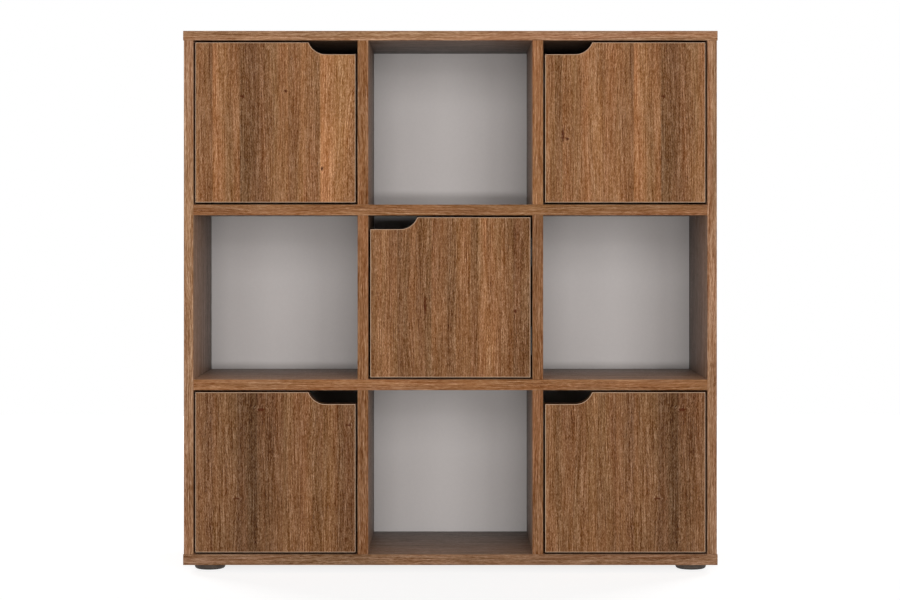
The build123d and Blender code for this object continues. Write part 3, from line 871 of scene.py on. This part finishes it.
def door_mesh(low, high, cups, sizes, steps):
    """A door with its notch, a bore for each hinge cup, and an eased front edge."""
    hinge_left = cups[0][0].x + cups[0][1].x < low.x + high.x
    outline = notched_outline(low, high, hinge_left, sizes)
    bm = bmesh.new()
    front, front_rim = closed_loop(bm, [(x, low.y, z) for x, z in outline])
    rear, _ = closed_loop(bm, [(x, high.y, z) for x, z in outline])
    bm.faces.new(front)
    bridge(bm, front, rear)
    bore_rims = []
    for cup_low, cup_high in cups:
        middle = (cup_low + cup_high) / 2
        ring = circle((cup_high.z - cup_low.z) / 2 - CUP_LIP, steps)
        mouth, rim = closed_loop(bm, [(middle.x + x, high.y, middle.z + z) for x, z in ring])
        floor = sink(bm, mouth, [(middle.x + x, cup_low.y, middle.z + z) for x, z in ring])
        floor.material_index = CORE
        bore_rims += rim
    fill_between(bm, rear, bore_rims)
    bmesh.ops.recalc_face_normals(bm, faces=bm.faces)
    eased = bmesh.ops.bevel(
        bm, geom=front_rim, offset=sizes.door_ease, segments=4, profile=0.5, affect="EDGES", material=STRIP
    )
    # The eased edge gets painted tones: a pale painted highlight where it faces the front, and painted
    # shade further out, which darkens the gap.
    for face in eased["faces"]:
        face.material_index = STRIP if abs(face.normal.y) > HIGHLIGHT_FACING else GAP_SHADE
    return bm


class CUBEUNIT_OT_doors(bpy.types.Operator):
    """Makes the doors, with finger notch, eased edges and bores for the hinge cups"""

    bl_idname = "cube_unit.doors"
    bl_label = "Doors"

    def execute(self, context):
        wood, sizes = context.scene.cube_unit_wood, context.scene.cube_unit_doors
        steps = context.scene.cube_unit_fittings.turned_steps
        core = shared("sawn_chipboard", chipboard, wood.chipboard)
        # Painted edge tones: a pale strip as a painted highlight, and painted shade in the gap round the
        # door.
        edge_highlight = shared("scraped_abs_strip", painted_edge, wood.painted_edge, STRIP_SHEEN)
        gap_shade = shared("dark_glue_line", painted_edge, wood.glue_line, GAP_SHADE_SHEEN)
        for door in DOORS:
            node = f"door_{door}"
            low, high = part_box(node)
            cups = [corners_of(points) for points in solids_of(f"hinge_cups_{door}")]
            bm = door_mesh(low, high, cups, sizes, steps)
            decor, offset, tone = DOOR_PRINTS[door]
            foil = shared(decor["foil"], walnut_foil, wood.door_foil, FACE_SHEEN, decor)
            materials = [foil, core, edge_highlight, gap_shade]
            piece = place_piece(f"{node}_foiled", bm, materials, f"{door}_door", node)
            write_grain(piece.data, Z, low, 0.0, offset, (tone, tone))
        return {"FINISHED"}


# Glides

class CUBEUNIT_OT_glides(bpy.types.Operator):
    """Turns the four moulded glides"""

    bl_idname = "cube_unit.glides"
    bl_label = "Glides"

    def execute(self, context):
        fittings = context.scene.cube_unit_fittings
        plastic = shared("moulded_polyethylene", moulded_plastic, fittings.glide_plastic)
        turn, turn_steps = 4.5 * MM, 6  # radius of the turned-under rim
        recess, depth, hole = 7.0 * MM, 7.0 * MM, 2.1 * MM  # for the screw's head, and its shank
        floor_ease, mouth_ease, top_ease = 0.4 * MM, 0.5 * MM, 0.6 * MM
        arc = [math.pi / 2 * step / turn_steps for step in range(turn_steps + 1)]
        for name in FEET:
            low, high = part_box(name)
            radius, height = (high.x - low.x) / 2, high.z - low.z
            rim = [(radius - turn + turn * math.sin(a), turn - turn * math.cos(a)) for a in arc]
            profile = [
                (hole, depth), (recess - floor_ease, depth), (recess, depth - floor_ease),
                (recess, mouth_ease), (recess + mouth_ease, 0.0), *rim,
                (radius, height - top_ease), (radius - top_ease, height), (hole, height),
            ]
            at = Matrix.Translation(((low.x + high.x) / 2, (low.y + high.y) / 2, low.z))
            bm = bmesh.new()
            lathe(bm, profile, at, fittings.turned_steps, closed=True)
            place_piece(f"{name}_glide", bm, [plastic], CARCASS, name)
        return {"FINISHED"}


# Hinges

CUP_LIP_T = 1.0 * MM
CUP_ROUND = 0.5 * MM  # radius of the lip's edge
CUP_SLOT = (15.0 * MM, 6.4 * MM)  # half length and half height of the slot that the arm swings in
CUP_SLOT_CORNER = 0.5 * MM
CUP_FLOOR = 1.0 * MM
HINGE_EASES = {"pins": 0.2 * MM, "arms": 0.35 * MM, "plates": 0.35 * MM}


def rounded_slot(half_length, half_height, corner):
    """Points of a slot with rounded corners about the origin, as (x, y)."""
    turns = 4
    points = []
    for quarter, (side_x, side_y) in enumerate(((1, 1), (-1, 1), (-1, -1), (1, -1))):
        for turn in range(turns + 1):
            a = math.pi / 2 * (quarter + turn / turns)
            x = side_x * (half_length - corner) + corner * math.cos(a)
            y = side_y * (half_height - corner) + corner * math.sin(a)
            points.append((x, y))
    return points


def hinge_cup(bm, low, high, steps):
    """A cast press-in cup: rounded lip, and a slot with rounded corners down to its floor."""
    middle = (low + high) / 2
    lip, depth = (high.z - low.z) / 2, high.y - low.y
    body, under_lip = lip - CUP_LIP, depth - CUP_LIP_T
    at = Matrix.Translation((middle.x, low.y, middle.z)) @ Matrix.Rotation(-math.pi / 2, 4, "X")
    profile = [
        (0.0, 0.0), (body - CUP_ROUND, 0.0), (body, CUP_ROUND), (body, under_lip), (lip, under_lip),
        (lip, depth - CUP_ROUND), (lip - 0.3 * CUP_ROUND, depth - 0.15 * CUP_ROUND),
        (lip - CUP_ROUND, depth),
    ]
    ring = lathe(bm, profile, at, steps)[-1]
    slot = rounded_slot(*CUP_SLOT, CUP_SLOT_CORNER)
    mouth, slot_rim = closed_loop(bm, [at @ Vector((x, y, depth)) for x, y in slot])
    sink(bm, mouth, [at @ Vector((x, y, CUP_FLOOR)) for x, y in slot])
    fill_between(bm, ring, slot_rim)


class CUBEUNIT_OT_hinges(bpy.types.Operator):
    """Makes the hinge cups, and finishes the pins, arms and plates"""

    bl_idname = "cube_unit.hinges"
    bl_label = "Hinges"

    def execute(self, context):
        fittings = context.scene.cube_unit_fittings
        steel, cast = zinc_finishes(fittings)
        for door in DOORS:
            node = f"hinge_cups_{door}"
            bm = bmesh.new()
            for points in solids_of(node):
                hinge_cup(bm, *corners_of(points), fittings.turned_steps)
            place_piece(f"{node}_cast", bm, [cast], f"{door}_door", node)
            for part, ease in HINGE_EASES.items():
                ease_node(f"hinge_{part}_{door}", steel, ease)
        return {"FINISHED"}


# Fasteners

END_PLAY = 0.01 * MM  # points this near to an end lie on its face
HEAD_SHARE = 0.9  # points further out than this share of the head's radius are on the head


def screw_place(points):
    """Where a screw or a nail is, and how large.

    Returns a matrix whose Z axis points out of the head, from the head's underside, and the head's radius,
    the head's height, the shank's radius and the shank's length.
    """
    low, high = corners_of(points)
    size, middle = high - low, (low + high) / 2
    axis = max(range(3), key=lambda i: size[i])
    along = Vector([float(i == axis) for i in range(3)])

    def from_axis(point):
        """Distance of a point from the screw's axis."""
        offset = point - middle
        return (offset - offset.project(along)).length

    ends = {}
    for sign, level in ((-1, low[axis]), (1, high[axis])):
        ends[sign] = max(from_axis(p) for p in points if abs(p[axis] - level) < END_PLAY)
    out = max(ends, key=ends.get)
    head = [p[axis] for p in points if from_axis(p) > HEAD_SHARE * ends[out]]
    seat = middle.copy()
    seat[axis] = min(head) if out > 0 else max(head)
    at = Matrix.Translation(seat) @ (along * out).to_track_quat("Z", "Y").to_matrix().to_4x4()
    head_height = max(head) - min(head)
    return at, ends[out], head_height, ends[-out], size[axis] - head_height


def cross_recess(bm, at, ring, arm, half, level, floor_level, taper):
    """Closes a ring of points with a flat face that has a tapered cross recess."""
    quarter = [(arm, -half), (arm, half), (half, half)]
    turns = [Matrix.Rotation(math.pi / 2 * turn, 2) for turn in range(4)]
    cross = [turn @ Vector(point) for turn in turns for point in quarter]
    mouth, rim = closed_loop(bm, [at @ Vector((x, y, level)) for x, y in cross])
    sink(bm, mouth, [at @ Vector((taper * x, taper * y, floor_level)) for x, y in cross])
    fill_between(bm, ring, rim)


def cross_screw(bm, points, steps):
    """A pan-head screw with a cross recess and a pointed shank."""
    at, radius, height, shank, length = screw_place(points)
    profile = [
        (0.0, -length), (shank * 0.6, -length + shank), (shank, -length + 2.5 * shank), (shank, 0.0),
        (radius, 0.0), (radius, height * 0.35), (radius * 0.95, height * 0.7), (radius * 0.82, height),
    ]
    ring = lathe(bm, profile, at, steps)[-1]
    cross_recess(bm, at, ring, 0.56 * radius, 0.15 * radius, height, 0.25 * height, taper=0.55)


def round_nail(bm, points, steps):
    """A nail with a low domed head."""
    at, radius, height, shank, length = screw_place(points)
    profile = [
        (0.0, -length), (shank, -length + 2 * shank), (shank, 0.0), (radius, 0.0), (radius, height * 0.3),
        (radius * 0.85, height * 0.72), (radius * 0.5, height * 0.95), (0.0, height),
    ]
    lathe(bm, profile, at, steps)


def cam_disc(bm, points, steps):
    """A cam fitting's disc, which shows its rim and its cross recess in the board's face."""
    low, high = corners_of(points)
    middle = (low + high) / 2
    out = 1.0 if low.x < 0.0 else -1.0
    face = high.x if out > 0 else low.x
    radius, depth = (high.z - low.z) / 2, high.x - low.x
    at = Matrix.Translation((face, middle.y, middle.z)) @ Matrix.Rotation(out * math.pi / 2, 4, "Y")
    proud, ease = 0.3 * MM, 0.2 * MM
    dish, recess = -0.4 * MM, 2.5 * MM
    profile = [
        (0.0, -depth), (radius, -depth), (radius, proud - ease), (radius - ease, proud),
        (radius * 0.72, proud), (radius * 0.68, dish),
    ]
    ring = lathe(bm, profile, at, steps)[-1]
    cross_recess(bm, at, ring, 0.5 * radius, 0.13 * radius, dish, dish - recess, taper=0.6)


class CUBEUNIT_OT_fasteners(bpy.types.Operator):
    """Makes the screws, nails and cam discs, and finishes the bolts and dowels"""

    bl_idname = "cube_unit.fasteners"
    bl_label = "Fasteners"

    def execute(self, context):
        fittings = context.scene.cube_unit_fittings
        steel, cast = zinc_finishes(fittings)
        steps = fittings.turned_steps // 2
        makers = {
            "plate_screws": (cross_screw, steel, "zinc_plated_steel"),
            "arm_screws": (cross_screw, steel, "zinc_plated_steel"),
            "foot_screws": (cross_screw, steel, "zinc_plated_steel"),
            "back_nails": (round_nail, steel, "zinc_plated_steel"),
            "cam_discs": (cam_disc, cast, "zinc_casting"),
        }
        for node, (make, metal, slot) in makers.items():
            bm = bmesh.new()
            for points in solids_of(node):
                make(bm, points, steps)
            place_piece(f"{node}_turned", bm, [metal], CARCASS, node)
        ease_node("cam_bolts", steel, 0.3 * MM)
        ease_node("dowels", shared("turned_beech", turned_beech, fittings.beech), 0.5 * MM)
        return {"FINISHED"}


# Stage, in metres

WHITE = (1.0, 1.0, 1.0, 1.0)
FLOOR_REACH = 3.0  # from the middle to an edge, as far as the lights keep it white
FLOOR_GLOW = 0.82  # brightness of the floor in full shade
FLOOR_PAINT = (0.5, 0.5, 0.5, 1.0)  # paint on top of that, which takes light and shadow
LIGHT_AIM = Vector((0.0, -0.1, 0.5))
LENS_SHIFT = (-0.0004, -0.0783)  # as the photograph is framed


def seen_directly(tree):
    """1 for rays that show the background: from the camera, in gloss and through glass."""
    path = add(tree, "LightPath").outputs
    gloss = add(tree, "Math", {0: path["Is Camera Ray"], 1: path["Is Glossy Ray"]}, operation="MAXIMUM")
    return add(tree, "Math", {0: gloss, 1: path["Is Transmission Ray"]}, operation="MAXIMUM")


def floor_paint(name, colour):
    """White painted floor. It shows as white with a faint shadow, and gives back a soft light."""
    material = bpy.data.materials.new(name)
    material.use_nodes = True
    tree = material.node_tree
    tree.nodes.clear()
    paint = add(tree, "BsdfDiffuse", {"Color": rgba(colour)})
    faint = add(tree, "BsdfDiffuse", {"Color": FLOOR_PAINT})
    glow = add(tree, "Emission", {"Color": WHITE, "Strength": FLOOR_GLOW})
    white = add(tree, "AddShader", {0: faint, 1: glow})
    mixed = add(tree, "MixShader", {"Fac": seen_directly(tree), 1: paint, 2: white})
    add(tree, "OutputMaterial", {"Surface": mixed})
    return material


class CUBEUNIT_OT_stage(bpy.types.Operator):
    """Sets up the floor, the soft light and the camera"""

    bl_idname = "cube_unit.stage"
    bl_label = "Stage"

    def execute(self, context):
        scene = context.scene
        settings = scene.cube_unit_stage
        scene.view_settings.view_transform = "Standard"
        self.lay_floor(scene, settings)
        self.light_world(scene, settings)
        # The camera looks through the gap between four softboxes, so no light falls straight into the
        # notches.
        softboxes = {
            "right_softbox": ((2.3, -6.2, 0.9), (1.8, 1.8), settings.right_power),
            "left_softbox": ((-2.3, -6.2, 0.9), (1.8, 1.8), settings.left_power),
            "top_softbox": ((0.3, -6.2, 2.2), (3.0, 1.4), settings.top_power),
            "low_softbox": ((0.0, -6.2, 0.16), (2.4, 0.28), settings.low_power),
            "rear_right_softbox": ((3.2, 3.6, 1.9), (1.8, 1.8), settings.rear_power),
            "rear_left_softbox": ((-3.2, 3.6, 1.9), (1.8, 1.8), settings.rear_power),
        }
        for name, (place, size, power) in softboxes.items():
            self.hang_softbox(scene, name, place, size, power)
        self.place_camera(scene, settings)
        return {"FINISHED"}

    @staticmethod
    def lay_floor(scene, settings):
        """A square of pale floor under the unit."""
        mesh = bpy.data.meshes.new("floor")
        corners = [(FLOOR_REACH * x, FLOOR_REACH * y, 0.0) for x, y in ((-1, -1), (1, -1), (1, 1), (-1, 1))]
        mesh.from_pydata(corners, [], [range(len(corners))])
        mesh.materials.append(shared("white_floor_paint", floor_paint, settings.floor))
        floor = bpy.data.objects.new("floor", mesh)
        scene.collection.objects.link(floor)

    @staticmethod
    def light_world(scene, settings):
        """Even light all round, behind a white background."""
        scene.world = bpy.data.worlds.new("studio")
        scene.world.use_nodes = True
        tree = scene.world.node_tree
        tree.nodes.clear()
        ambient = add(tree, "Background", {"Color": WHITE, "Strength": settings.ambient})
        white = add(tree, "Background", {"Color": WHITE, "Strength": 1.0})
        mixed = add(tree, "MixShader", {"Fac": seen_directly(tree), 1: ambient, 2: white})
        add(tree, "OutputWorld", {"Surface": mixed})

    @staticmethod
    def hang_softbox(scene, name, place, size, power):
        """A soft light aimed at the unit's middle.

        Reflections don't show it, as it would veil foil and metal.
        """
        light = bpy.data.lights.new(name, "AREA")
        light.shape, light.size, light.size_y = "RECTANGLE", *size
        light.energy = power
        softbox = bpy.data.objects.new(name, light)
        softbox.location = place
        softbox.visible_glossy = False
        softbox.rotation_euler = (LIGHT_AIM - softbox.location).to_track_quat("-Z", "Y").to_euler()
        scene.collection.objects.link(softbox)

    @staticmethod
    def place_camera(scene, settings):
        """A level camera in front of the unit's middle."""
        lens = bpy.data.cameras.new("photo_camera")
        lens.lens = settings.lens
        lens.shift_x, lens.shift_y = LENS_SHIFT
        camera = bpy.data.objects.new("photo_camera", lens)
        camera.location = (0.0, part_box("top_panel")[0].y - settings.distance, settings.height)
        camera.rotation_euler = (math.pi / 2, 0.0, 0.0)
        scene.collection.objects.link(camera)
        scene.camera = camera


class CUBEUNIT_PT_pieces(bpy.types.Panel):
    """Lists the operators that make the unit"""

    bl_idname = "CUBEUNIT_PT_pieces"
    bl_label = "Cube storage unit"
    bl_space_type = "VIEW_3D"
    bl_region_type = "UI"
    bl_category = "Cube Unit"

    def draw(self, context):
        for operator in OPERATORS:
            self.layout.operator(operator.bl_idname)


OPERATORS = [
    CUBEUNIT_OT_boards,
    CUBEUNIT_OT_back,
    CUBEUNIT_OT_doors,
    CUBEUNIT_OT_glides,
    CUBEUNIT_OT_hinges,
    CUBEUNIT_OT_fasteners,
    CUBEUNIT_OT_stage,
]
SETTINGS = {
    "cube_unit_wood": CubeUnitWood,
    "cube_unit_doors": CubeUnitDoors,
    "cube_unit_fittings": CubeUnitFittings,
    "cube_unit_stage": CubeUnitStage,
}


def register():
    """Registers the classes and hangs the settings on the scene."""
    for cls in [*SETTINGS.values(), *OPERATORS, CUBEUNIT_PT_pieces]:
        bpy.utils.register_class(cls)
    for name, group in SETTINGS.items():
        setattr(bpy.types.Scene, name, PointerProperty(type=group))


def unregister():
    """Takes the settings off the scene and unregisters the classes."""
    for name in SETTINGS:
        delattr(bpy.types.Scene, name)
    for cls in [CUBEUNIT_PT_pieces, *reversed(OPERATORS), *reversed(SETTINGS.values())]:
        bpy.utils.unregister_class(cls)


def main():
    """Registers the add-on and makes every piece."""
    register()
    bpy.ops.cube_unit.boards()
    bpy.ops.cube_unit.back()
    bpy.ops.cube_unit.doors()
    bpy.ops.cube_unit.glides()
    bpy.ops.cube_unit.hinges()
    bpy.ops.cube_unit.fasteners()
    bpy.ops.cube_unit.stage()


if __name__ == "__main__":
    main()
